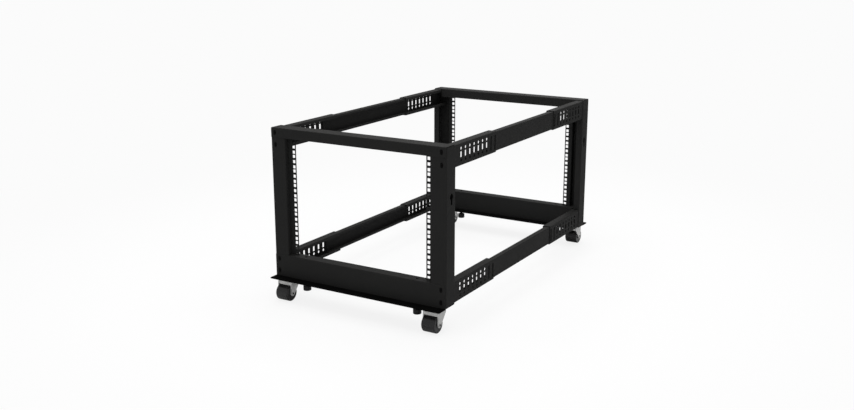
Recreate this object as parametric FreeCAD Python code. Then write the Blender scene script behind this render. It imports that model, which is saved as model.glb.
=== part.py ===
import FreeCAD, Part
import math
import os

# Eight-unit, four-post open frame rack on casters, with a depth that telescopes.
# Millimetres. X runs across the rack, Y from front to rear, Z up from the floor.
# The front-right corner is modelled, and its mirror images make the other three.

Vector = FreeCAD.Vector

# Rack standard (EIA-310)
UNIT = 44.45
UNITS = 8
RACK_OPENING = 450.0
HOLE_COLUMN_SPACING = 465.1
HOLES_PER_UNIT = 3
FIRST_HOLE = 6.35
HOLE_PITCH = 15.875
SQUARE_HOLE = 9.5

# Frame
POST_OUTER_WIDTH = 600.0
POST_DEPTH_OVERALL = 1008.0
SHEET = 2.0
BEND_RADIUS = 1.0
RACK_FLANGE_WIDTH = 25.0
POST_SIDE_DEPTH = 50.0
POST_LIP = 21.0
FLANGE_RECESS = 19.0
KEYHOLE_FROM_FRONT = 28.0
KEYHOLE_ABOVE_BEAM = 248.0
KEYHOLE_HEAD_RADIUS = 9.5
KEYHOLE_SLOT_WIDTH = 9.0
KEYHOLE_DROP = 19.0

# Base beam and top bar
BASE_BEAM_HEIGHT = 68.0
BASE_BEAM_DEPTH = 38.0
FOOT_KEY_RADIUS = 4.5
BAY_GAP_BELOW = 1.0
BAY_GAP_ABOVE = 5.0
TOP_BAR_HEIGHT = 29.4
TOP_BAR_DEPTH = 49.0
RAIL_GAP = 2.0

# Foot plate
FOOT_PLATE_WIDTH = 102.0
FOOT_PLATE_THICKNESS = 3.0
FOOT_PLATE_CORNER = 3.0
FOOT_PLATE_INSET = 8.0

# Side rails
SLEEVE_HEIGHT = 63.0
SLEEVE_FLANGE = 28.0
SLEEVE_LIP = 10.0
SLEEVE_LENGTH = 293.5
SLEEVE_TOP_GAP = 0.5
SLEEVE_BOTTOM_GAP = 1.5
SLIDE_CLEARANCE = 0.3
RAIL_OVERLAP = 46.5
CHANNEL_FLANGE = 20.0
CHANNEL_LIP = 8.0
TAB_WIDTH = 24.0
TAB_RELIEF = 6.0
SLOT_PITCH = 25.4
SLOT_COLUMNS = 7
TALL_SLOT_COLUMNS = 2
SLOT_FIRST = 82.5
SLOT_WIDTH = 9.5
ROUND_HOLE = 9.0
ROUND_HOLE_SIDES = 8
ROUND_HOLE_OFFSET = 17.0
LONG_SLOT_HEIGHT = 16.4
TALL_SLOT_HEIGHT = 42.0

# Casters
CASTER_FROM_SIDE = 41.4
CASTER_OFFSET = 9.5
CASTER_SIZE = 50.0
TRAIL = 14.5
WHEEL_RADIUS = 25.0
WHEEL_WIDTH = 43.0
WHEEL_CHAMFER = 2.0
WHEEL_SIDE_GAP = 1.0
WHEEL_TOP_GAP = 9.0
WHEEL_FRONT_GAP = 0.5
HUB_RADIUS = 8.0
HUB_CLEARANCE = 0.3
PAN_HEIGHT = 7.0
PAN_SHEET = 2.5
PAN_CORNER = 6.0
SWIVEL_GAP = 1.0
RACE_RADIUS = 17.0
RACE_CLEARANCE = 0.3
FORK_LENGTH = 41.0
FORK_SHEET = 3.0
FORK_BACK_LIP = 8.0
FORK_TIP_RADIUS = 8.5
KINGPIN_RADIUS = 4.0
KINGPIN_HEAD_RADIUS = 6.0
KINGPIN_HEAD = 1.7
AXLE_RADIUS = 3.0
AXLE_HEAD_RADIUS = 4.5
AXLE_HEAD = 1.5
RUNNING_CLEARANCE = 0.05

# Levelling feet
FOOT_FROM_SIDE = 104.0
FOOT_RADIUS = 12.3
FOOT_PAD_HEIGHT = 15.0
FOOT_CHAMFER = 1.5
FOOT_FLOOR_GAP = 35.5
STUD_RADIUS = 5.0
STUD_TOP = 120.0
NUT_ACROSS_FLATS = 17.0
NUT_SIDES = 6
NUT_HEIGHT = 8.0

# Heights and planes that follow from the sizes above
FORK_TOP = 2 * WHEEL_RADIUS + WHEEL_TOP_GAP + FORK_SHEET
FORK_LIP = WHEEL_TOP_GAP + FORK_SHEET - WHEEL_FRONT_GAP
FORK_WIDTH = WHEEL_WIDTH + 2 * (WHEEL_SIDE_GAP + FORK_SHEET)
CASTER_HEIGHT = FORK_TOP + SWIVEL_GAP + PAN_HEIGHT
FOOT_PLATE_TOP = CASTER_HEIGHT + FOOT_PLATE_THICKNESS
BASE_BEAM_TOP = FOOT_PLATE_TOP + BASE_BEAM_HEIGHT
BAY_BOTTOM = BASE_BEAM_TOP + BAY_GAP_BELOW
BAY_TOP = BAY_BOTTOM + UNITS * UNIT
TOP_BAR_BOTTOM = BAY_TOP + BAY_GAP_ABOVE
RACK_TOP = TOP_BAR_BOTTOM + TOP_BAR_HEIGHT
BAR_UNDERSIDE = RACK_TOP - SHEET
POST_TOP = BAR_UNDERSIDE - BEND_RADIUS
POST_X = POST_OUTER_WIDTH / 2
POST_FRONT = -POST_DEPTH_OVERALL / 2
PLATE_BACK = POST_FRONT + SHEET
BAR_FRONT = POST_FRONT - SHEET
PLATE_INNER_X = RACK_OPENING / 2 + RACK_FLANGE_WIDTH
FLANGE_FRONT = POST_FRONT + FLANGE_RECESS
POST_LIP_BACK = POST_FRONT + POST_SIDE_DEPTH
SLEEVE_X = POST_X - SHEET
SLEEVE_INNER_X = SLEEVE_X - SLEEVE_FLANGE
RAIL_NOTCH_X = SLEEVE_INNER_X - RAIL_GAP
LOWER_SLEEVE_BOTTOM = FOOT_PLATE_TOP + SLEEVE_BOTTOM_GAP
UPPER_SLEEVE_BOTTOM = BAR_UNDERSIDE - SLEEVE_TOP_GAP - SLEEVE_HEIGHT
BEAM_CENTRE_Y = BAR_FRONT + BASE_BEAM_DEPTH / 2
CHANNEL_LENGTH = 2 * (RAIL_OVERLAP - PLATE_BACK - SLEEVE_LENGTH)
CASTER_X = POST_X - CASTER_FROM_SIDE
CASTER_Y = BEAM_CENTRE_Y - CASTER_OFFSET
FOOT_X = POST_X - FOOT_FROM_SIDE


def arc_corner(before, corner, after, radius):
    """Return the two tangent points and the middle of an arc that rounds a corner."""
    to_before = (before - corner).normalize()
    to_after = (after - corner).normalize()
    half_angle = to_before.getAngle(to_after) / 2
    tangent_length = radius / math.tan(half_angle)
    bisector = (to_before + to_after).normalize()
    centre = corner + bisector * (radius / math.sin(half_angle))
    start = corner + to_before * tangent_length
    end = corner + to_after * tangent_length
    middle = centre - bisector * radius
    return start, middle, end


def outline(corners):
    """Close an outline of (point, radius) corners, with an arc where the radius is not zero."""
    edges = []
    pieces = []
    count = len(corners)
    for index, (corner, radius) in enumerate(corners):
        if radius == 0:
            pieces.append((corner, None, corner))
            continue
        before = corners[index - 1][0]
        after = corners[(index + 1) % count][0]
        pieces.append(arc_corner(before, corner, after, radius))
    for index, (start, middle, end) in enumerate(pieces):
        if middle is not None:
            edges.append(Part.Arc(start, middle, end).toShape())
        next_start = pieces[(index + 1) % count][0]
        if end.distanceToPoint(next_start) > 1e-6:
            edges.append(Part.makeLine(end, next_start))
    return Part.Face(Part.Wire(edges))


PLANES = {
    "XY": (lambda a, b, c: Vector(a, b, c), Vector(0, 0, 1)),
    "XZ": (lambda a, b, c: Vector(a, c, b), Vector(0, 1, 0)),
    "YZ": (lambda a, b, c: Vector(c, a, b), Vector(1, 0, 0)),
}


def prism(plane, corners, start, end):
    """Extrude a flat outline of (a, b, radius) corners from start to end along the third axis."""
    place, direction = PLANES[plane]
    placed = [(place(a, b, start), radius) for a, b, radius in corners]
    return outline(placed).extrude(direction * (end - start))


def crossing(point_a, along_a, point_b, along_b):
    """Return where two flat lines cross."""
    denominator = along_a[0] * along_b[1] - along_a[1] * along_b[0]
    offset = (point_b[0] - point_a[0], point_b[1] - point_a[1])
    distance = (offset[0] * along_b[1] - offset[1] * along_b[0]) / denominator
    return (point_a[0] + along_a[0] * distance, point_a[1] + along_a[1] * distance)


def bent_sheet(path, thickness, bend_radius):
    """Turn a path along one face of a bent sheet into an outline, with the metal on its right."""
    headings = []
    shifted = []
    for (a0, b0), (a1, b1) in zip(path, path[1:]):
        length = math.hypot(a1 - a0, b1 - b0)
        heading = ((a1 - a0) / length, (b1 - b0) / length)
        headings.append(heading)
        shifted.append((a0 + heading[1] * thickness, b0 - heading[0] * thickness))
    last = headings[-1]
    near = [(path[0][0], path[0][1], 0)]
    far = [(shifted[0][0], shifted[0][1], 0)]
    for index in range(1, len(headings)):
        into, out = headings[index - 1], headings[index]
        turns_right = into[0] * out[1] - into[1] * out[0] < 0
        near_radius = bend_radius + thickness if turns_right else bend_radius
        far_radius = bend_radius if turns_right else bend_radius + thickness
        far_point = crossing(shifted[index - 1], into, shifted[index], out)
        near.append((path[index][0], path[index][1], near_radius))
        far.append((far_point[0], far_point[1], far_radius))
    end = path[-1]
    near.append((end[0], end[1], 0))
    far.append((end[0] + last[1] * thickness, end[1] - last[0] * thickness, 0))
    return near + far[::-1]


def box(x_range, y_range, z_range):
    size = [high - low for low, high in (x_range, y_range, z_range)]
    return Part.makeBox(*size, Vector(x_range[0], y_range[0], z_range[0]))


def regular_polygon(a, b, across_flats, sides):
    """Return the corners of a polygon with a flat towards each end of the first axis."""
    radius = across_flats / 2 / math.cos(math.pi / sides)
    corners = []
    for index in range(sides):
        angle = math.pi * (2 * index + 1) / sides
        corners.append((a + radius * math.cos(angle), b + radius * math.sin(angle), 0))
    return corners


def cylinder(radius, base, height, direction=Vector(0, 0, 1)):
    return Part.makeCylinder(radius, height, base, direction)


def single(shape):
    """Merge coplanar faces and return the one solid of a finished piece."""
    return shape.removeSplitter().Solids[0]


def post():
    """A bent post: lip, side wall, front plate, return and the rack flange with its holes."""
    path = [
        (POST_X - POST_LIP, POST_LIP_BACK),
        (POST_X, POST_LIP_BACK),
        (POST_X, POST_FRONT),
        (PLATE_INNER_X, POST_FRONT),
        (PLATE_INNER_X, FLANGE_FRONT),
        (RACK_OPENING / 2, FLANGE_FRONT),
    ]
    section = bent_sheet(path, SHEET, BEND_RADIUS)
    body = prism("XY", section, FOOT_PLATE_TOP, POST_TOP)
    beam_notch = box(
        (RACK_OPENING / 2 - SHEET, PLATE_INNER_X + 2 * SHEET),
        (PLATE_BACK, FLANGE_FRONT + 2 * SHEET),
        (FOOT_PLATE_TOP - SHEET, BASE_BEAM_TOP),
    )
    cutters = [beam_notch]
    lip_x = (POST_X - POST_LIP - SHEET, SLEEVE_X)
    lip_y = (POST_LIP_BACK - SHEET - BEND_RADIUS, POST_LIP_BACK + SHEET)
    lower_rail_top = LOWER_SLEEVE_BOTTOM + SLEEVE_HEIGHT + RAIL_GAP
    upper_rail_bottom = UPPER_SLEEVE_BOTTOM - RAIL_GAP
    cutters.append(box(lip_x, lip_y, (FOOT_PLATE_TOP - SHEET, lower_rail_top)))
    cutters.append(box(lip_x, lip_y, (upper_rail_bottom, POST_TOP + SHEET)))
    hole_half = SQUARE_HOLE / 2
    hole_x = HOLE_COLUMN_SPACING / 2
    for unit in range(UNITS):
        for hole in range(HOLES_PER_UNIT):
            hole_z = BAY_BOTTOM + unit * UNIT + FIRST_HOLE + hole * HOLE_PITCH
            cutters.append(box(
                (hole_x - hole_half, hole_x + hole_half),
                (FLANGE_FRONT - SHEET, FLANGE_FRONT + 2 * SHEET),
                (hole_z - hole_half, hole_z + hole_half),
            ))
    cutters.extend(keyhole())
    return single(body.cut(cutters))


def keyhole():
    """The cutters of the cable-hook keyhole in a post's side wall."""
    y = POST_FRONT + KEYHOLE_FROM_FRONT
    head_z = BASE_BEAM_TOP + KEYHOLE_ABOVE_BEAM
    foot_z = head_z - KEYHOLE_DROP
    inside_x = POST_X - 2 * SHEET
    length = 3 * SHEET
    half_slot = KEYHOLE_SLOT_WIDTH / 2
    along_x = Vector(1, 0, 0)
    head = cylinder(KEYHOLE_HEAD_RADIUS, Vector(inside_x, y, head_z), length, along_x)
    foot = cylinder(half_slot, Vector(inside_x, y, foot_z), length, along_x)
    leg = box((inside_x, inside_x + length), (y - half_slot, y + half_slot), (foot_z, head_z))
    return [head, foot, leg]


def inverted_channel(front, depth, bottom, top):
    path = [(front, bottom), (front, top), (front + depth, top), (front + depth, bottom)]
    return bent_sheet(path, SHEET, BEND_RADIUS)


def both_sides(inner_x, outer_x, y_range, z_range):
    """Two equal boxes, one at each side of the rack."""
    right = box((inner_x, outer_x), y_range, z_range)
    left = box((-outer_x, -inner_x), y_range, z_range)
    return [right, left]


def top_bar():
    """An inverted channel over the posts' tops, open behind at its ends for the rails."""
    inner_face = BAR_FRONT + TOP_BAR_DEPTH
    section = inverted_channel(BAR_FRONT, TOP_BAR_DEPTH, TOP_BAR_BOTTOM, RACK_TOP)
    body = prism("YZ", section, -SLEEVE_X, SLEEVE_X)
    rail_cut = both_sides(
        RAIL_NOTCH_X,
        POST_X + SHEET,
        (inner_face - SHEET - BEND_RADIUS, inner_face + SHEET),
        (TOP_BAR_BOTTOM - SHEET, BAR_UNDERSIDE),
    )
    return single(body.cut(rail_cut))


def base_beam():
    """An inverted channel, notched for the posts and rails, with a key hole over each foot."""
    inner_face = BAR_FRONT + BASE_BEAM_DEPTH
    section = inverted_channel(BAR_FRONT, BASE_BEAM_DEPTH, FOOT_PLATE_TOP, BASE_BEAM_TOP)
    body = prism("YZ", section, -SLEEVE_X, SLEEVE_X)
    whole_height = (FOOT_PLATE_TOP - SHEET, BASE_BEAM_TOP + SHEET)
    plate_cut = both_sides(PLATE_INNER_X, POST_X + SHEET, (POST_FRONT, PLATE_BACK), whole_height)
    rail_cut = both_sides(
        RAIL_NOTCH_X,
        POST_X + SHEET,
        (inner_face - SHEET - BEND_RADIUS, inner_face + SHEET),
        (FOOT_PLATE_TOP - SHEET, BASE_BEAM_TOP - SHEET),
    )
    body = body.cut(plate_cut + rail_cut)
    for side in (-1, 1):
        key_base = Vector(side * FOOT_X, BEAM_CENTRE_Y, BASE_BEAM_TOP - 2 * SHEET)
        body = body.cut(cylinder(FOOT_KEY_RADIUS, key_base, 3 * SHEET))
    return single(body)


def foot_plate():
    """The flat plate under a base beam, narrower behind the posts, with two welded nuts."""
    front = BEAM_CENTRE_Y - FOOT_PLATE_WIDTH / 2
    back = BEAM_CENTRE_Y + FOOT_PLATE_WIDTH / 2
    narrow_x = SLEEVE_X - FOOT_PLATE_INSET
    corners = [
        (-SLEEVE_X, front, FOOT_PLATE_CORNER),
        (SLEEVE_X, front, FOOT_PLATE_CORNER),
        (SLEEVE_X, PLATE_BACK, 0),
        (narrow_x, PLATE_BACK, 0),
        (narrow_x, back, FOOT_PLATE_CORNER),
        (-narrow_x, back, FOOT_PLATE_CORNER),
        (-narrow_x, PLATE_BACK, 0),
        (-SLEEVE_X, PLATE_BACK, 0),
    ]
    body = prism("XY", corners, CASTER_HEIGHT, FOOT_PLATE_TOP)
    bore_radius = STUD_RADIUS + RUNNING_CLEARANCE
    for side in (-1, 1):
        nut = regular_polygon(side * FOOT_X, BEAM_CENTRE_Y, NUT_ACROSS_FLATS, NUT_SIDES)
        body = body.fuse(prism("XY", nut, FOOT_PLATE_TOP, FOOT_PLATE_TOP + NUT_HEIGHT))
        bore_base = Vector(side * FOOT_X, BEAM_CENTRE_Y, CASTER_HEIGHT - SHEET)
        bore_length = SHEET + FOOT_PLATE_THICKNESS + NUT_HEIGHT + SHEET
        body = body.cut(cylinder(bore_radius, bore_base, bore_length))
    return single(body)


def rail_section(outer_x, flange, lip, bottom, top):
    """A C-section: wall, two flanges and a lip turned in along each."""
    inner_x = outer_x - flange
    path = [
        (inner_x, top - lip),
        (inner_x, top),
        (outer_x, top),
        (outer_x, bottom),
        (inner_x, bottom),
        (inner_x, bottom + lip),
    ]
    return bent_sheet(path, SHEET, BEND_RADIUS)


def sleeve(bottom):
    """An outer rail: a channel with rows of slots and a tab that bolts behind the post's plate."""
    top = bottom + SLEEVE_HEIGHT
    start = PLATE_BACK
    end = start + SLEEVE_LENGTH
    tab_bend = 2 * (SHEET + BEND_RADIUS)
    section = rail_section(SLEEVE_X, SLEEVE_FLANGE, SLEEVE_LIP, bottom, top)
    channel = prism("XZ", section, start + SHEET + BEND_RADIUS, end)
    tab_path = [(SLEEVE_X, start + tab_bend), (SLEEVE_X, start), (SLEEVE_X - TAB_WIDTH, start)]
    tab_section = bent_sheet(tab_path, SHEET, BEND_RADIUS)
    tab = prism("XY", tab_section, bottom + TAB_RELIEF, top - TAB_RELIEF)
    body = channel.fuse(tab)
    middle = bottom + SLEEVE_HEIGHT / 2
    through = (SLEEVE_X - 2 * SHEET, SLEEVE_X + SHEET)
    cutters = []
    for column in range(SLOT_COLUMNS + TALL_SLOT_COLUMNS):
        y = start + SLOT_FIRST + column * SLOT_PITCH
        tall = column >= SLOT_COLUMNS
        half_height = (TALL_SLOT_HEIGHT if tall else LONG_SLOT_HEIGHT) / 2
        slot_y = (y - SLOT_WIDTH / 2, y + SLOT_WIDTH / 2)
        cutters.append(box(through, slot_y, (middle - half_height, middle + half_height)))
        if tall:
            continue
        for hole_z in (middle - ROUND_HOLE_OFFSET, middle + ROUND_HOLE_OFFSET):
            hole = regular_polygon(y, hole_z, ROUND_HOLE, ROUND_HOLE_SIDES)
            cutters.append(prism("YZ", hole, *through))
    return single(body.cut(cutters))


def rail_channel(sleeve_bottom):
    """The inner rail that slides in a front and a rear sleeve and joins them."""
    inset = SHEET + SLIDE_CLEARANCE
    outer_x = SLEEVE_X - inset
    bottom = sleeve_bottom + inset
    top = sleeve_bottom + SLEEVE_HEIGHT - inset
    section = rail_section(outer_x, CHANNEL_FLANGE, CHANNEL_LIP, bottom, top)
    return single(prism("XZ", section, -CHANNEL_LENGTH / 2, CHANNEL_LENGTH / 2))


def square_outline(half_size, radius):
    return [
        (CASTER_X - half_size, CASTER_Y - half_size, radius),
        (CASTER_X + half_size, CASTER_Y - half_size, radius),
        (CASTER_X + half_size, CASTER_Y + half_size, radius),
        (CASTER_X - half_size, CASTER_Y + half_size, radius),
    ]


def caster_plate():
    """The pressed top plate of a swivel caster, with its ball race and kingpin."""
    half_size = CASTER_SIZE / 2
    bottom = CASTER_HEIGHT - PAN_HEIGHT
    pan = prism("XY", square_outline(half_size, PAN_CORNER), bottom, CASTER_HEIGHT)
    hollow = prism(
        "XY",
        square_outline(half_size - PAN_SHEET, PAN_CORNER - PAN_SHEET),
        bottom - PAN_SHEET,
        CASTER_HEIGHT - PAN_SHEET,
    )
    body = pan.cut(hollow)
    race_bottom = Vector(CASTER_X, CASTER_Y, FORK_TOP + RACE_CLEARANCE)
    race = cylinder(RACE_RADIUS, race_bottom, CASTER_HEIGHT - PAN_SHEET - race_bottom.z)
    head_bottom = Vector(CASTER_X, CASTER_Y, FORK_TOP - FORK_SHEET - RACE_CLEARANCE - KINGPIN_HEAD)
    pin = cylinder(KINGPIN_RADIUS, head_bottom, CASTER_HEIGHT - head_bottom.z)
    head = cylinder(KINGPIN_HEAD_RADIUS, head_bottom, KINGPIN_HEAD)
    return single(body.fuse([race, pin, head]))


def fork_leg(x_start):
    """One leg of the fork: upright along its leading edge, slanting to a round tip at the axle."""
    axle_y = CASTER_Y - TRAIL
    front = CASTER_Y - FORK_LENGTH / 2
    back = CASTER_Y + FORK_LENGTH / 2
    tip = WHEEL_RADIUS - FORK_TIP_RADIUS
    back_low = FORK_TOP - FORK_BACK_LIP
    reach = math.hypot(back - axle_y, back_low - WHEEL_RADIUS)
    lean = math.atan2(back_low - WHEEL_RADIUS, back - axle_y)
    tangent = lean - math.acos(FORK_TIP_RADIUS / reach)
    touch = (
        axle_y + FORK_TIP_RADIUS * math.cos(tangent),
        WHEEL_RADIUS + FORK_TIP_RADIUS * math.sin(tangent),
    )
    along = (math.sin(tangent), -math.cos(tangent))
    corner = crossing(touch, along, (axle_y, tip), (1, 0))
    corners = [
        (front, FORK_TOP, 0),
        (back, FORK_TOP, 0),
        (back, back_low, 0),
        (corner[0], corner[1], FORK_TIP_RADIUS),
        (axle_y - FORK_TIP_RADIUS, tip, FORK_TIP_RADIUS),
        (axle_y - FORK_TIP_RADIUS, WHEEL_RADIUS + FORK_TIP_RADIUS, 0),
    ]
    return prism("YZ", corners, x_start, x_start + FORK_SHEET)


def caster_fork():
    """The pressed fork that swivels under the caster's plate and carries the wheel's axle."""
    right = CASTER_X + FORK_WIDTH / 2
    left = CASTER_X - FORK_WIDTH / 2
    front = CASTER_Y - FORK_LENGTH / 2
    back = CASTER_Y + FORK_LENGTH / 2
    crown_path = [
        (front, FORK_TOP - FORK_LIP),
        (front, FORK_TOP),
        (back, FORK_TOP),
        (back, FORK_TOP - FORK_BACK_LIP),
    ]
    crown_section = bent_sheet(crown_path, FORK_SHEET, BEND_RADIUS)
    crown = prism("YZ", crown_section, left, right)
    bore_base = Vector(CASTER_X, CASTER_Y, FORK_TOP - 2 * FORK_SHEET)
    bore = cylinder(KINGPIN_RADIUS + RUNNING_CLEARANCE, bore_base, 3 * FORK_SHEET)
    axle_centre = Vector(left - AXLE_HEAD, CASTER_Y - TRAIL, WHEEL_RADIUS)
    along_x = Vector(1, 0, 0)
    axle = cylinder(AXLE_RADIUS, axle_centre, FORK_WIDTH + 2 * AXLE_HEAD, along_x)
    left_head = cylinder(AXLE_HEAD_RADIUS, axle_centre, AXLE_HEAD, along_x)
    right_head = left_head.translated(Vector(FORK_WIDTH + AXLE_HEAD, 0, 0))
    legs = [fork_leg(left), fork_leg(right - FORK_SHEET)]
    body = crown.fuse(legs + [axle, left_head, right_head])
    return single(body.cut(bore))


def caster_wheel():
    """A wide roller wheel, turned about its axle, with a hub boss between the legs."""
    half_width = WHEEL_WIDTH / 2
    hub_half = FORK_WIDTH / 2 - FORK_SHEET - HUB_CLEARANCE
    bore_radius = AXLE_RADIUS + RUNNING_CLEARANCE
    half_profile = [
        (hub_half, bore_radius),
        (hub_half, HUB_RADIUS),
        (half_width, HUB_RADIUS),
        (half_width, WHEEL_RADIUS - WHEEL_CHAMFER),
        (half_width - WHEEL_CHAMFER, WHEEL_RADIUS),
    ]
    profile = half_profile + [(-a, b) for a, b in reversed(half_profile)]
    axle_y = CASTER_Y - TRAIL
    placed = [(Vector(CASTER_X + a, axle_y, WHEEL_RADIUS + b), 0) for a, b in profile]
    return outline(placed).revolve(Vector(CASTER_X, axle_y, WHEEL_RADIUS), Vector(1, 0, 0), 360)


def levelling_foot():
    """A round foot on a threaded stud that screws through the foot plate's nut."""
    pad_top = FOOT_FLOOR_GAP + FOOT_PAD_HEIGHT
    profile = [
        (0, FOOT_FLOOR_GAP),
        (FOOT_RADIUS - FOOT_CHAMFER, FOOT_FLOOR_GAP),
        (FOOT_RADIUS, FOOT_FLOOR_GAP + FOOT_CHAMFER),
        (FOOT_RADIUS, pad_top - FOOT_CHAMFER),
        (FOOT_RADIUS - FOOT_CHAMFER, pad_top),
        (STUD_RADIUS, pad_top),
        (STUD_RADIUS, STUD_TOP),
        (0, STUD_TOP),
    ]
    placed = [(Vector(FOOT_X + a, BEAM_CENTRE_Y, b), 0) for a, b in profile]
    return outline(placed).revolve(Vector(FOOT_X, BEAM_CENTRE_Y, 0), Vector(0, 0, 1), 360)


def mirrored(shape, front, right):
    """Mirror a front-right shape to one of the four corners."""
    if not front:
        shape = shape.mirror(Vector(0, 0, 0), Vector(0, 1, 0))
    if not right:
        shape = shape.mirror(Vector(0, 0, 0), Vector(1, 0, 0))
    return shape


def build():
    nodes = {}
    corner_pieces = {
        "post": post(),
        "sleeve_top": sleeve(UPPER_SLEEVE_BOTTOM),
        "sleeve_bottom": sleeve(LOWER_SLEEVE_BOTTOM),
        "caster_plate": caster_plate(),
        "caster_fork": caster_fork(),
        "caster_wheel": caster_wheel(),
        "levelling_foot": levelling_foot(),
    }
    end_pieces = {"top_bar": top_bar(), "base_beam": base_beam(), "foot_plate": foot_plate()}
    side_pieces = {
        "channel_top": rail_channel(UPPER_SLEEVE_BOTTOM),
        "channel_bottom": rail_channel(LOWER_SLEEVE_BOTTOM),
    }
    for end, front in (("front", True), ("rear", False)):
        for name, shape in end_pieces.items():
            nodes[f"{name}_{end}"] = mirrored(shape, front, True)
        for side, right in (("left", False), ("right", True)):
            for name, shape in corner_pieces.items():
                nodes[f"{name}_{end}_{side}"] = mirrored(shape, front, right)
    for side, right in (("left", False), ("right", True)):
        for name, shape in side_pieces.items():
            nodes[f"{name}_{side}"] = mirrored(shape, True, right)
    return nodes


os.makedirs("parts", exist_ok=True)
for node_name, node_shape in build().items():
    node_shape.exportStep(f"parts/{node_name}.step")
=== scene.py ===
import bpy
import bmesh
import math
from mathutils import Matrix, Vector


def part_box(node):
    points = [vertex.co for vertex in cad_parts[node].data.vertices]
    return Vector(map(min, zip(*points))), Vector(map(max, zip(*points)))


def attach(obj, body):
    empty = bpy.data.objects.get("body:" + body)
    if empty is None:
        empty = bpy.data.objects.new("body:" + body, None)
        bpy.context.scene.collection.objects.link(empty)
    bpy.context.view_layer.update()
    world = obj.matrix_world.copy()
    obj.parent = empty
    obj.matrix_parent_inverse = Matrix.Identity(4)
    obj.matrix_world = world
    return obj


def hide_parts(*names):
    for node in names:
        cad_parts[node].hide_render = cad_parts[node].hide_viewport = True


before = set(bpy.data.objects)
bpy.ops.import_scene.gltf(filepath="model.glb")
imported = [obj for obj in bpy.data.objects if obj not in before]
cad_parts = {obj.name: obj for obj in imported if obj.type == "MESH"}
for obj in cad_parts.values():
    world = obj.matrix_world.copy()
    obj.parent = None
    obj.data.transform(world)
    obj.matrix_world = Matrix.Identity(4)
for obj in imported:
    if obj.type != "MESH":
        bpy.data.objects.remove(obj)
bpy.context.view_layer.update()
bpy.ops.object.select_all(action="DESELECT")

# Camera
# It looks down on the front right corner of the rack from a little above its top.
# Metres and degrees in the rack's own frame.
CAMERA_PLACE = (1.5836, -2.7685, 1.0535)
CAMERA_AZIMUTH = 30.71
CAMERA_ELEVATION = 14.65
CAMERA_LENS = 41.9
CAMERA_SENSOR = 36
CAMERA_REACH = 100

bpy.ops.object.camera_add(location=CAMERA_PLACE)
camera = bpy.context.object
camera.rotation_euler = (math.radians(90 - CAMERA_ELEVATION), 0, math.radians(CAMERA_AZIMUTH))
camera.data.lens = CAMERA_LENS
camera.data.sensor_width = CAMERA_SENSOR
camera.data.clip_end = CAMERA_REACH
bpy.context.scene.camera = camera
bpy.context.scene.view_settings.view_transform = "Standard"

# Studio
# A seamless pale room with three softboxes. The world lights softly, and is pale where it is
# seen or mirrored. The floor keeps a faint shadow under the rack and fades into the room.
ROOM_WHITE = 0.965
ROOM_COLOUR = (ROOM_WHITE, ROOM_WHITE, ROOM_WHITE, 1)
WORLD_LIGHT = 0.62
FLOOR_SIZE = 40.0
FLOOR_GAP = 0.0005
FLOOR_GLOW_NEAR = 0.86
FLOOR_FADE_START = 0.9
FLOOR_FADE_END = 2.2
LAMP_AIM = (0, 0, 0.3)
SOFTBOXES = (
    # name, place, width in metres, power in watts
    ("overhead_softbox", (0.0, 0.0, 2.6), 2.4, 48),
    ("front_softbox", (0.6, -3.2, 2.2), 2.0, 20),
    ("rear_softbox", (-0.6, 3.2, 2.2), 2.0, 20),
)

world = bpy.data.worlds.new("pale_room")
bpy.context.scene.world = world
world.use_nodes = True
nodes = world.node_tree.nodes
links = world.node_tree.links
background = nodes["Background"]
background.inputs["Color"].default_value = (1, 1, 1, 1)
rays = nodes.new("ShaderNodeLightPath")
seen_or_mirrored = nodes.new("ShaderNodeMath")
seen_or_mirrored.operation = "MAXIMUM"
links.new(rays.outputs["Is Camera Ray"], seen_or_mirrored.inputs[0])
links.new(rays.outputs["Is Glossy Ray"], seen_or_mirrored.inputs[1])
with_glass = nodes.new("ShaderNodeMath")
with_glass.operation = "MAXIMUM"
links.new(seen_or_mirrored.outputs[0], with_glass.inputs[0])
links.new(rays.outputs["Is Transmission Ray"], with_glass.inputs[1])
strength = nodes.new("ShaderNodeMapRange")
strength.inputs["To Min"].default_value = WORLD_LIGHT
strength.inputs["To Max"].default_value = ROOM_WHITE
links.new(with_glass.outputs[0], strength.inputs["Value"])
links.new(strength.outputs["Result"], background.inputs["Strength"])

bpy.ops.mesh.primitive_plane_add(size=FLOOR_SIZE, location=(0, 0, -FLOOR_GAP))
floor = bpy.context.object
floor.name = "studio_floor"
floor_paper = bpy.data.materials.new("floor_paper")
floor_paper.use_nodes = True
nodes = floor_paper.node_tree.nodes
links = floor_paper.node_tree.links
nodes.clear()
matte = nodes.new("ShaderNodeBsdfDiffuse")
matte.inputs["Color"].default_value = ROOM_COLOUR
glow = nodes.new("ShaderNodeEmission")
glow.inputs["Color"].default_value = ROOM_COLOUR
floor_spot = nodes.new("ShaderNodeTexCoord")
from_middle = nodes.new("ShaderNodeVectorMath")
from_middle.operation = "LENGTH"
links.new(floor_spot.outputs["Object"], from_middle.inputs[0])
fade = nodes.new("ShaderNodeMapRange")
fade.interpolation_type = "SMOOTHSTEP"
fade.inputs["From Min"].default_value = FLOOR_FADE_START
fade.inputs["From Max"].default_value = FLOOR_FADE_END
fade.inputs["To Min"].default_value = FLOOR_GLOW_NEAR
links.new(from_middle.outputs["Value"], fade.inputs["Value"])
rays = nodes.new("ShaderNodeLightPath")
glow_share = nodes.new("ShaderNodeMath")
glow_share.operation = "MULTIPLY"
links.new(rays.outputs["Is Camera Ray"], glow_share.inputs[0])
links.new(fade.outputs["Result"], glow_share.inputs[1])
mix = nodes.new("ShaderNodeMixShader")
links.new(glow_share.outputs[0], mix.inputs["Fac"])
links.new(matte.outputs[0], mix.inputs[1])
links.new(glow.outputs[0], mix.inputs[2])
output = nodes.new("ShaderNodeOutputMaterial")
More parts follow.
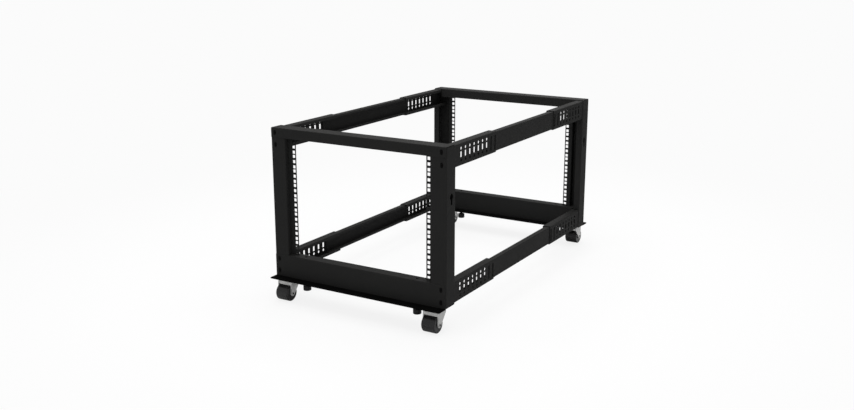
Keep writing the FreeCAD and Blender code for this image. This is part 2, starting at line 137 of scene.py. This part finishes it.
links.new(mix.outputs[0], output.inputs["Surface"])
floor.data.materials.append(floor_paper)

for lamp_name, lamp_place, lamp_size, lamp_power in SOFTBOXES:
    bpy.ops.object.light_add(type="AREA", location=lamp_place)
    lamp = bpy.context.object
    lamp.name = lamp_name
    lamp.data.size = lamp_size
    lamp.data.energy = lamp_power
    aim = Vector(LAMP_AIM) - Vector(lamp_place)
    lamp.rotation_euler = aim.to_track_quat("-Z", "Y").to_euler()
bpy.ops.object.select_all(action="DESELECT")

# Sheet steel frame
# Posts, beams, bars, rails and foot plates, bent from 2 and 3 mm steel sheet.
# Each is baked with a satin black powder coat: a fine orange peel and slow patches.
# Faces that look up get a lighter, warmer speckled tone: a little dust, and painted light from
# above.
COAT_BLACK = (0.0125, 0.0125, 0.0125, 1)
COAT_PATCH = (0.0165, 0.0165, 0.016, 1)
# The lighter, warmer tone on faces that look up: partly dust, partly painted light from above.
COAT_DUST_AND_TOP_LIGHT = (0.034, 0.033, 0.031, 1)
PLATE_BLACK = (0.0016, 0.0016, 0.0016, 1)
PLATE_PATCH = (0.003, 0.003, 0.003, 1)
NOISE_LOW = 0.3
NOISE_HIGH = 0.7
GRAIN_DETAIL = 3
PATCH_DETAIL = 4
PATCH_BREAKUP = 0.6
DUST_DETAIL = 5
DUST_BREAKUP = 0.65
DUST_SPECK_SCALE = 45
DUST_AND_LIGHT_FROM_SLOPE = 0.55
DUST_DULLNESS = 0.25
SHEEN_BELOW = 0.05
SHEEN_ABOVE = 0.06
PEEL_STRENGTH = 0.3


def powder_grain_group():
    """The orange peel and the slow patches of a baked coat, as a height and a mask."""
    group = bpy.data.node_groups.new("powder_grain", "ShaderNodeTree")
    sockets = group.interface
    sockets.new_socket("Grain Scale", in_out="INPUT", socket_type="NodeSocketFloat")
    sockets.new_socket("Patch Scale", in_out="INPUT", socket_type="NodeSocketFloat")
    sockets.new_socket("Height", in_out="OUTPUT", socket_type="NodeSocketFloat")
    sockets.new_socket("Patches", in_out="OUTPUT", socket_type="NodeSocketFloat")
    entry = group.nodes.new("NodeGroupInput")
    where = group.nodes.new("ShaderNodeTexCoord")
    grain = group.nodes.new("ShaderNodeTexNoise")
    grain.inputs["Detail"].default_value = GRAIN_DETAIL
    patches = group.nodes.new("ShaderNodeTexNoise")
    patches.inputs["Detail"].default_value = PATCH_DETAIL
    patches.inputs["Roughness"].default_value = PATCH_BREAKUP
    leave = group.nodes.new("NodeGroupOutput")
    group.links.new(where.outputs["Object"], grain.inputs["Vector"])
    group.links.new(where.outputs["Object"], patches.inputs["Vector"])
    group.links.new(entry.outputs["Grain Scale"], grain.inputs["Scale"])
    group.links.new(entry.outputs["Patch Scale"], patches.inputs["Scale"])
    group.links.new(grain.outputs["Fac"], leave.inputs["Height"])
    group.links.new(patches.outputs["Fac"], leave.inputs["Patches"])
    return group


def dust_and_top_light_group():
    """Soft specks on the faces that look up, as a mask: a little dust, and painted light from
    above.
    """
    group = bpy.data.node_groups.new("dust_and_top_light", "ShaderNodeTree")
    sockets = group.interface
    sockets.new_socket("Amount", in_out="INPUT", socket_type="NodeSocketFloat")
    sockets.new_socket("Speck Scale", in_out="INPUT", socket_type="NodeSocketFloat")
    sockets.new_socket("Dust And Top Light", in_out="OUTPUT", socket_type="NodeSocketFloat")
    entry = group.nodes.new("NodeGroupInput")
    where = group.nodes.new("ShaderNodeTexCoord")
    apart = group.nodes.new("ShaderNodeSeparateXYZ")
    # Faces that look up carry the mask: dust, and painted light from above.
    upward = group.nodes.new("ShaderNodeMapRange")
    upward.inputs["From Min"].default_value = DUST_AND_LIGHT_FROM_SLOPE
    specks = group.nodes.new("ShaderNodeTexNoise")
    specks.inputs["Detail"].default_value = DUST_DETAIL
    specks.inputs["Roughness"].default_value = DUST_BREAKUP
    thick = group.nodes.new("ShaderNodeMapRange")
    thick.inputs["From Min"].default_value = NOISE_LOW
    thick.inputs["From Max"].default_value = NOISE_HIGH
    on_top = group.nodes.new("ShaderNodeMath")
    on_top.operation = "MULTIPLY"
    weighed = group.nodes.new("ShaderNodeMath")
    weighed.operation = "MULTIPLY"
    leave = group.nodes.new("NodeGroupOutput")
    group.links.new(where.outputs["Normal"], apart.inputs["Vector"])
    group.links.new(apart.outputs["Z"], upward.inputs["Value"])
    group.links.new(where.outputs["Object"], specks.inputs["Vector"])
    group.links.new(entry.outputs["Speck Scale"], specks.inputs["Scale"])
    group.links.new(specks.outputs["Fac"], thick.inputs["Value"])
    group.links.new(upward.outputs["Result"], on_top.inputs[0])
    group.links.new(thick.outputs["Result"], on_top.inputs[1])
    group.links.new(on_top.outputs[0], weighed.inputs[0])
    group.links.new(entry.outputs["Amount"], weighed.inputs[1])
    group.links.new(weighed.outputs[0], leave.inputs["Dust And Top Light"])
    return group


powder_grain = powder_grain_group()
dust_and_top_light = dust_and_top_light_group()


def coat(name, base, patch, roughness, specular, grain_scale, grain_height, patch_scale, dust_and_light):
    """A dark finish: grain in its height, patches in colour and sheen, and where it looks up a
    lighter tone that is dust and painted light from above.
    """
    finish = bpy.data.materials.new(name)
    finish.use_nodes = True
    nodes = finish.node_tree.nodes
    links = finish.node_tree.links
    surface = nodes["Principled BSDF"]
    surface.inputs["Specular IOR Level"].default_value = specular
    grain = nodes.new("ShaderNodeGroup")
    grain.node_tree = powder_grain
    grain.inputs["Grain Scale"].default_value = grain_scale
    grain.inputs["Patch Scale"].default_value = patch_scale
    dust_and_light_mask = nodes.new("ShaderNodeGroup")
    dust_and_light_mask.node_tree = dust_and_top_light
    dust_and_light_mask.inputs["Amount"].default_value = dust_and_light
    dust_and_light_mask.inputs["Speck Scale"].default_value = DUST_SPECK_SCALE
    patched = nodes.new("ShaderNodeMix")
    patched.data_type = "RGBA"
    patched.inputs["A"].default_value = base
    patched.inputs["B"].default_value = patch
    links.new(grain.outputs["Patches"], patched.inputs["Factor"])
    # Mixes in the lighter tone where faces look up: dust, and painted light from above.
    dusted_and_lit = nodes.new("ShaderNodeMix")
    dusted_and_lit.data_type = "RGBA"
    dusted_and_lit.inputs["B"].default_value = COAT_DUST_AND_TOP_LIGHT
    links.new(dust_and_light_mask.outputs["Dust And Top Light"], dusted_and_lit.inputs["Factor"])
    links.new(patched.outputs["Result"], dusted_and_lit.inputs["A"])
    links.new(dusted_and_lit.outputs["Result"], surface.inputs["Base Color"])
    sheen = nodes.new("ShaderNodeMapRange")
    sheen.inputs["From Min"].default_value = NOISE_LOW
    sheen.inputs["From Max"].default_value = NOISE_HIGH
    sheen.inputs["To Min"].default_value = roughness - SHEEN_BELOW
    sheen.inputs["To Max"].default_value = roughness + SHEEN_ABOVE
    links.new(grain.outputs["Patches"], sheen.inputs["Value"])
    duller = nodes.new("ShaderNodeMath")
    duller.operation = "MULTIPLY_ADD"
    duller.inputs[1].default_value = DUST_DULLNESS
    links.new(dust_and_light_mask.outputs["Dust And Top Light"], duller.inputs[0])
    links.new(sheen.outputs["Result"], duller.inputs[2])
    links.new(duller.outputs[0], surface.inputs["Roughness"])
    bump = nodes.new("ShaderNodeBump")
    bump.inputs["Strength"].default_value = PEEL_STRENGTH
    bump.inputs["Distance"].default_value = grain_height
    links.new(grain.outputs["Height"], bump.inputs["Height"])
    links.new(bump.outputs["Normal"], surface.inputs["Normal"])
    return finish


def finish_nodes(prefixes, finish):
    """Give a finish to every CAD node whose name starts with one of the prefixes."""
    for node_name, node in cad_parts.items():
        if node_name.startswith(prefixes):
            node.data.materials.clear()
            node.data.materials.append(finish)


# The last amount of each finish sets both its dust and its painted light from above.
frame_coat = coat(
    "frame_powder_coat", COAT_BLACK, COAT_PATCH, roughness=0.6, specular=0.025,
    grain_scale=900, grain_height=0.0002, patch_scale=7, dust_and_light=0.3,
)
plate_coat = coat(
    "plate_powder_coat", PLATE_BLACK, PLATE_PATCH, roughness=0.7, specular=0.005,
    grain_scale=900, grain_height=0.0002, patch_scale=9, dust_and_light=0.03,
)
finish_nodes(("post", "sleeve", "channel", "top_bar", "base_beam"), frame_coat)
finish_nodes(("foot_plate",), plate_coat)

# Frame screws
# Black steel button-head screws with a hexagon socket, in upright slots, four at each corner.
# Each slot is painted shade: a near-black raised obround plate under the head.
# They join the post to the top bar, to the upper sleeve's tab and to the base beam.
SCREW_HEAD_RADIUS = 0.0036
SCREW_HEAD_HEIGHT = 0.0013
SCREW_DOME = 0.0008
SCREW_SOCKET_RADIUS = 0.0019
SCREW_SOCKET_DEPTH = 0.001
SCREW_SLOT_RADIUS = 0.0043
SCREW_SLOT_HALF_RUN = 0.0034
SCREW_SLOT_RISE = 0.0004
SCREW_SLOT_RIM = 0.0005
SCREW_HEAD_SIDES = 24
SCREW_DOME_STEPS = 4
SCREW_DOME_CURVE = 0.6
SCREW_SLOT_SIDES = 22
SCREW_FROM_SIDE = 0.0155
SCREW_BELOW_BAR_TOP = 0.0145
SCREW_ABOVE_SLEEVE = 0.0145
SCREWS_ABOVE_BEAM = (0.054, 0.017)
# Near-black for the screw heads, and painted shade for the slots and the rivet hollows.
SCREW_AND_SHADE_BLACK = (0.0012, 0.0012, 0.0012, 1)
SCREW_RUBBED = (0.003, 0.003, 0.003, 1)
FACING_COSINE = 0.9
SMOOTH_ANGLE = math.radians(35)


def select_faces(obj, test):
    """In edit mode, select just the faces whose middle and normal pass a test."""
    mesh = bmesh.from_edit_mesh(obj.data)
    for edge in mesh.edges:
        edge.select = False
    for face in mesh.faces:
        face.select_set(test(face.calc_center_median(), face.normal))
    bmesh.update_edit_mesh(obj.data)


def select_half(obj, upper):
    """In edit mode, select just the corners on the upper or the lower side along Y."""
    mesh = bmesh.from_edit_mesh(obj.data)
    for corner in mesh.verts:
        corner.select_set((corner.co.y > 0) == upper)
    bmesh.update_edit_mesh(obj.data)


def hexagon_hole(obj, radius, depth, top):
    """Sink a hexagon socket from a height on the Z axis into a piece."""
    bpy.ops.mesh.primitive_cylinder_add(
        vertices=6, radius=radius, depth=2 * depth, location=(0, 0, top)
    )
    cutter = bpy.context.object
    bpy.ops.object.select_all(action="DESELECT")
    bpy.context.view_layer.objects.active = obj
    obj.select_set(True)
    cut = obj.modifiers.new("socket", "BOOLEAN")
    cut.operation = "DIFFERENCE"
    cut.object = cutter
    bpy.ops.object.modifier_apply(modifier=cut.name)
    bpy.data.objects.remove(cutter)


def copy_piece(model, name):
    """A copy of a modelled piece, with its own mesh, that becomes the one selected object."""
    piece = model.copy()
    piece.data = model.data.copy()
    piece.name = name
    bpy.context.collection.objects.link(piece)
    bpy.ops.object.select_all(action="DESELECT")
    bpy.context.view_layer.objects.active = piece
    piece.select_set(True)
    return piece


def settle():
    """Put the selected piece's place and turn into its mesh."""
    bpy.ops.object.transform_apply(location=True, rotation=True, scale=True)


# One near-black finish for the black steel screw heads and for the painted shade of the slots and
# rivet hollows.
black_steel_and_painted_shade = coat(
    "black_steel_and_painted_shade", SCREW_AND_SHADE_BLACK, SCREW_RUBBED, roughness=0.5, specular=0.03,
    grain_scale=1500, grain_height=0.00005, patch_scale=300, dust_and_light=0.0,
)

bpy.ops.mesh.primitive_cylinder_add(
    vertices=SCREW_HEAD_SIDES, radius=SCREW_HEAD_RADIUS, depth=SCREW_HEAD_HEIGHT,
    location=(0, 0, SCREW_HEAD_HEIGHT / 2),
)
screw_head = bpy.context.object
settle()
bpy.ops.object.mode_set(mode="EDIT")
bpy.ops.mesh.select_mode(type="FACE")
select_faces(screw_head, lambda middle, normal: normal.z > FACING_COSINE)
bpy.ops.mesh.region_to_loop()
bpy.ops.mesh.bevel(
    offset=SCREW_DOME, segments=SCREW_DOME_STEPS, profile=SCREW_DOME_CURVE, affect="EDGES"
)
bpy.ops.object.mode_set(mode="OBJECT")
hexagon_hole(screw_head, SCREW_SOCKET_RADIUS, SCREW_SOCKET_DEPTH, SCREW_HEAD_HEIGHT)

bpy.ops.object.select_all(action="DESELECT")
# A near-black raised obround plate under the head: painted shade where the slot's hollow would be.
bpy.ops.mesh.primitive_cylinder_add(
    vertices=SCREW_SLOT_SIDES, radius=SCREW_SLOT_RADIUS, depth=SCREW_SLOT_RISE,
    location=(0, 0, SCREW_SLOT_RISE / 2),
)
slot_shade_plate = bpy.context.object
settle()
bpy.ops.object.mode_set(mode="EDIT")
bpy.ops.mesh.select_mode(type="VERT")
for upper, run in ((True, SCREW_SLOT_HALF_RUN), (False, -SCREW_SLOT_HALF_RUN)):
    bpy.ops.mesh.select_all(action="DESELECT")
    select_half(slot_shade_plate, upper)
    bpy.ops.transform.translate(value=(0, run, 0))
bpy.ops.mesh.select_mode(type="FACE")
select_faces(slot_shade_plate, lambda middle, normal: normal.z > FACING_COSINE)
bpy.ops.mesh.inset(thickness=SCREW_SLOT_RIM, depth=-SCREW_SLOT_RISE / 2)
bpy.ops.object.mode_set(mode="OBJECT")
screw_head.select_set(True)
bpy.ops.object.join()
screw_model = bpy.context.object
bpy.ops.object.shade_smooth_by_angle(angle=SMOOTH_ANGLE)
screw_model.data.materials.clear()
screw_model.data.materials.append(black_steel_and_painted_shade)

post_low, post_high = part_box("post_front_right")
beam_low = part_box("base_beam_front")[0]
bar_low, bar_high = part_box("top_bar_front")
sleeve_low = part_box("sleeve_top_front_right")[0]
screw_x = post_high[0] - SCREW_FROM_SIDE
seats = [(beam_low[2] + rise, beam_low[1]) for rise in SCREWS_ABOVE_BEAM]
seats.append((sleeve_low[2] + SCREW_ABOVE_SLEEVE, post_low[1]))
seats.append((bar_high[2] - SCREW_BELOW_BAR_TOP, bar_low[1]))
seats.sort()
for end, facing in (("front", -1), ("rear", 1)):
    for side, hand in (("left", -1), ("right", 1)):
        for number, (height, face) in enumerate(seats, start=1):
            screw = copy_piece(screw_model, f"frame_screw_{end}_{side}_{number}")
            screw.rotation_euler = (math.radians(90) * -facing, 0, 0)
            screw.location = (hand * screw_x, -facing * face, height)
            settle()
            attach(screw, f"{end}_frame")
bpy.data.objects.remove(screw_model)
bpy.ops.object.select_all(action="DESELECT")

# Casters
# Pressed steel plates and forks, zinc plated to a dull grey with a mottled bloom.
# The fork swivels on a riveted kingpin, and its axle is riveted through both legs.
ZINC = (0.44, 0.44, 0.435, 1)
ZINC_DULL = (0.33, 0.33, 0.325, 1)
ZINC_METALLIC = 0.7
ZINC_GRAIN_SCALE = 1200
ZINC_PATCH_SCALE = 90
ZINC_ROUGHNESS_LOW = 0.4
ZINC_ROUGHNESS_HIGH = 0.56
ZINC_GRAIN_STRENGTH = 0.15
ZINC_GRAIN_HEIGHT = 0.00005

zinc_plate = bpy.data.materials.new("zinc_plate")
zinc_plate.use_nodes = True
nodes = zinc_plate.node_tree.nodes
links = zinc_plate.node_tree.links
surface = nodes["Principled BSDF"]
surface.inputs["Metallic"].default_value = ZINC_METALLIC
grain = nodes.new("ShaderNodeGroup")
grain.node_tree = powder_grain
grain.inputs["Grain Scale"].default_value = ZINC_GRAIN_SCALE
grain.inputs["Patch Scale"].default_value = ZINC_PATCH_SCALE
colour = nodes.new("ShaderNodeMix")
colour.data_type = "RGBA"
colour.inputs["A"].default_value = ZINC
colour.inputs["B"].default_value = ZINC_DULL
links.new(grain.outputs["Patches"], colour.inputs["Factor"])
links.new(colour.outputs["Result"], surface.inputs["Base Color"])
bloom = nodes.new("ShaderNodeMapRange")
bloom.inputs["From Min"].default_value = NOISE_LOW
bloom.inputs["From Max"].default_value = NOISE_HIGH
bloom.inputs["To Min"].default_value = ZINC_ROUGHNESS_LOW
bloom.inputs["To Max"].default_value = ZINC_ROUGHNESS_HIGH
links.new(grain.outputs["Patches"], bloom.inputs["Value"])
links.new(bloom.outputs["Result"], surface.inputs["Roughness"])
bump = nodes.new("ShaderNodeBump")
bump.inputs["Strength"].default_value = ZINC_GRAIN_STRENGTH
bump.inputs["Distance"].default_value = ZINC_GRAIN_HEIGHT
links.new(grain.outputs["Height"], bump.inputs["Height"])
links.new(bump.outputs["Normal"], surface.inputs["Normal"])
finish_nodes(("caster_plate", "caster_fork"), zinc_plate)

# Axle ends
# Near-black discs on the ends of the tubular steel rivets that the wheels turn on: painted shade
# in the rivets' hollow ends.
# Each rivet is rolled over on both legs of its fork.
AXLE_END_RADIUS = 0.0032
AXLE_END_RISE = 0.0003
AXLE_END_WALL = AXLE_END_RADIUS / 3
AXLE_END_SIDES = 16

bpy.ops.mesh.primitive_cylinder_add(
    vertices=AXLE_END_SIDES, radius=AXLE_END_RADIUS, depth=2 * AXLE_END_RISE,
    rotation=(0, math.radians(90), 0),
)
axle_end_model = bpy.context.object
settle()
bpy.ops.object.mode_set(mode="EDIT")
bpy.ops.mesh.select_mode(type="FACE")
select_faces(axle_end_model, lambda middle, normal: abs(normal.x) > FACING_COSINE)
bpy.ops.mesh.inset(thickness=AXLE_END_WALL, depth=-AXLE_END_RISE / 2, use_individual=True)
bpy.ops.object.mode_set(mode="OBJECT")
bpy.ops.object.shade_smooth_by_angle(angle=SMOOTH_ANGLE)
# The near-black finish paints the shade inside each rivet's hollow end.
axle_end_model.data.materials.append(black_steel_and_painted_shade)
for end in ("front", "rear"):
    for side in ("left", "right"):
        fork_low, fork_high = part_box(f"caster_fork_{end}_{side}")
        wheel_low, wheel_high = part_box(f"caster_wheel_{end}_{side}")
        for leg, x in (("inner", fork_low[0]), ("outer", fork_high[0])):
            axle_end = copy_piece(axle_end_model, f"axle_end_{end}_{side}_{leg}")
            axle_end.location = (
                x, (wheel_low[1] + wheel_high[1]) / 2, (wheel_low[2] + wheel_high[2]) / 2
            )
            settle()
            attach(axle_end, f"caster_fork_{end}_{side}")
bpy.data.objects.remove(axle_end_model)
bpy.ops.object.select_all(action="DESELECT")

# Wheels
# Wide rollers moulded in black nylon, with a slight sheen and a scuffed tread.
# Each turns on the rivet between the legs of its fork.
NYLON_BLACK = (0.0045, 0.0045, 0.0048, 1)
NYLON_SCUFFED = (0.011, 0.011, 0.0115, 1)

nylon_black = coat(
    "nylon_black", NYLON_BLACK, NYLON_SCUFFED, roughness=0.3, specular=0.24,
    grain_scale=500, grain_height=0.0001, patch_scale=70, dust_and_light=0.06,
)
finish_nodes(("caster_wheel",), nylon_black)

# Levelling feet
# Round black steel pads on M10 threaded studs, which screw through the foot plates' welded nuts.
# A key reaches the hexagon socket in each stud's end through the hole in the base beam above.
STUD_RADIUS = 0.005
THREAD_PITCH = 0.0015
THREAD_DEPTH = 0.0007
THREAD_STEPS = 16
THREAD_SPARE_TURNS = 2
THREAD_MERGE = THREAD_PITCH / 100
STUD_SOCKET_RADIUS = 0.0028
STUD_SOCKET_DEPTH = 0.004
PAD_HEIGHT = 0.015
PAD_RIM = 0.0015
PAD_SIDES = 40
PAD_RIM_STEPS = 3
FLAT_COSINE = 0.99
FOOT_BLACK = (0.0075, 0.0075, 0.0078, 1)
FOOT_RUBBED = (0.014, 0.014, 0.014, 1)

foot_black = coat(
    "foot_black", FOOT_BLACK, FOOT_RUBBED, roughness=0.42, specular=0.12,
    grain_scale=900, grain_height=0.0001, patch_scale=120, dust_and_light=0.1,
)


def cut_level(height, keep_below):
    """In edit mode, cut the whole mesh level at a height and close the cut."""
    bpy.ops.mesh.select_all(action="SELECT")
    bpy.ops.mesh.bisect(
        plane_co=(0, 0, height), plane_no=(0, 0, 1), use_fill=True,
        clear_outer=keep_below, clear_inner=not keep_below,
    )


foot_low, foot_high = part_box("levelling_foot_front_right")
pad_radius = (foot_high[0] - foot_low[0]) / 2
pad_top = foot_low[2] + PAD_HEIGHT

bpy.ops.mesh.primitive_circle_add(
    vertices=4, radius=THREAD_PITCH / 2, rotation=(math.radians(90), 0, 0),
    location=(STUD_RADIUS - THREAD_DEPTH, 0, pad_top - THREAD_PITCH),
)
stud = bpy.context.object
stud.scale = (THREAD_DEPTH / (THREAD_PITCH / 2), 1, 1)
settle()
bpy.ops.object.mode_set(mode="EDIT")
bpy.ops.mesh.select_mode(type="VERT")
bpy.ops.mesh.select_all(action="DESELECT")
flank = bmesh.from_edit_mesh(stud.data)
root = min(flank.verts, key=lambda corner: corner.co.x)
root.select_set(True)
bmesh.update_edit_mesh(stud.data)
bpy.ops.mesh.delete(type="VERT")
bpy.ops.object.mode_set(mode="OBJECT")
thread = stud.modifiers.new("thread", "SCREW")
thread.axis = "Z"
thread.screw_offset = THREAD_PITCH
thread_turns = math.ceil((foot_high[2] - pad_top) / THREAD_PITCH)
thread.iterations = thread_turns + THREAD_SPARE_TURNS
thread.steps = THREAD_STEPS
thread.render_steps = THREAD_STEPS
thread.use_merge_vertices = True
thread.merge_threshold = THREAD_MERGE
bpy.ops.object.modifier_apply(modifier=thread.name)
bpy.ops.object.mode_set(mode="EDIT")
bpy.ops.mesh.select_all(action="SELECT")
bpy.ops.mesh.remove_doubles(threshold=THREAD_MERGE)
cut_level(foot_high[2], True)
cut_level(pad_top - PAD_RIM / 2, False)
bpy.ops.mesh.select_all(action="SELECT")
bpy.ops.mesh.normals_make_consistent(inside=False)
bpy.ops.object.mode_set(mode="OBJECT")
hexagon_hole(stud, STUD_SOCKET_RADIUS, STUD_SOCKET_DEPTH, foot_high[2])

bpy.ops.object.select_all(action="DESELECT")
bpy.ops.mesh.primitive_cylinder_add(
    vertices=PAD_SIDES, radius=pad_radius, depth=PAD_HEIGHT,
    location=(0, 0, foot_low[2] + PAD_HEIGHT / 2),
)
pad = bpy.context.object
settle()
bpy.ops.object.mode_set(mode="EDIT")
select_faces(pad, lambda middle, normal: abs(normal.z) > FACING_COSINE)
bpy.ops.mesh.region_to_loop()
bpy.ops.mesh.bevel(offset=PAD_RIM, segments=PAD_RIM_STEPS, affect="EDGES")
bpy.ops.mesh.select_mode(type="FACE")
select_faces(pad, lambda middle, normal: normal.z > FLAT_COSINE)
bpy.ops.mesh.inset(thickness=PAD_RIM, depth=0)
bpy.ops.mesh.inset(thickness=PAD_RIM, depth=-PAD_RIM / 2)
bpy.ops.object.mode_set(mode="OBJECT")
stud.select_set(True)
bpy.ops.object.join()
bpy.ops.object.shade_smooth_by_angle(angle=SMOOTH_ANGLE)
foot_model = bpy.context.object
foot_model.data.materials.clear()
foot_model.data.materials.append(foot_black)

for end in ("front", "rear"):
    for side in ("left", "right"):
        node_name = f"levelling_foot_{end}_{side}"
        low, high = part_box(node_name)
        foot = copy_piece(foot_model, f"threaded_foot_{end}_{side}")
        foot.location = ((low[0] + high[0]) / 2, (low[1] + high[1]) / 2, 0)
        settle()
        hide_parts(node_name)
        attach(foot, node_name)
bpy.data.objects.remove(foot_model)
bpy.ops.object.select_all(action="DESELECT")
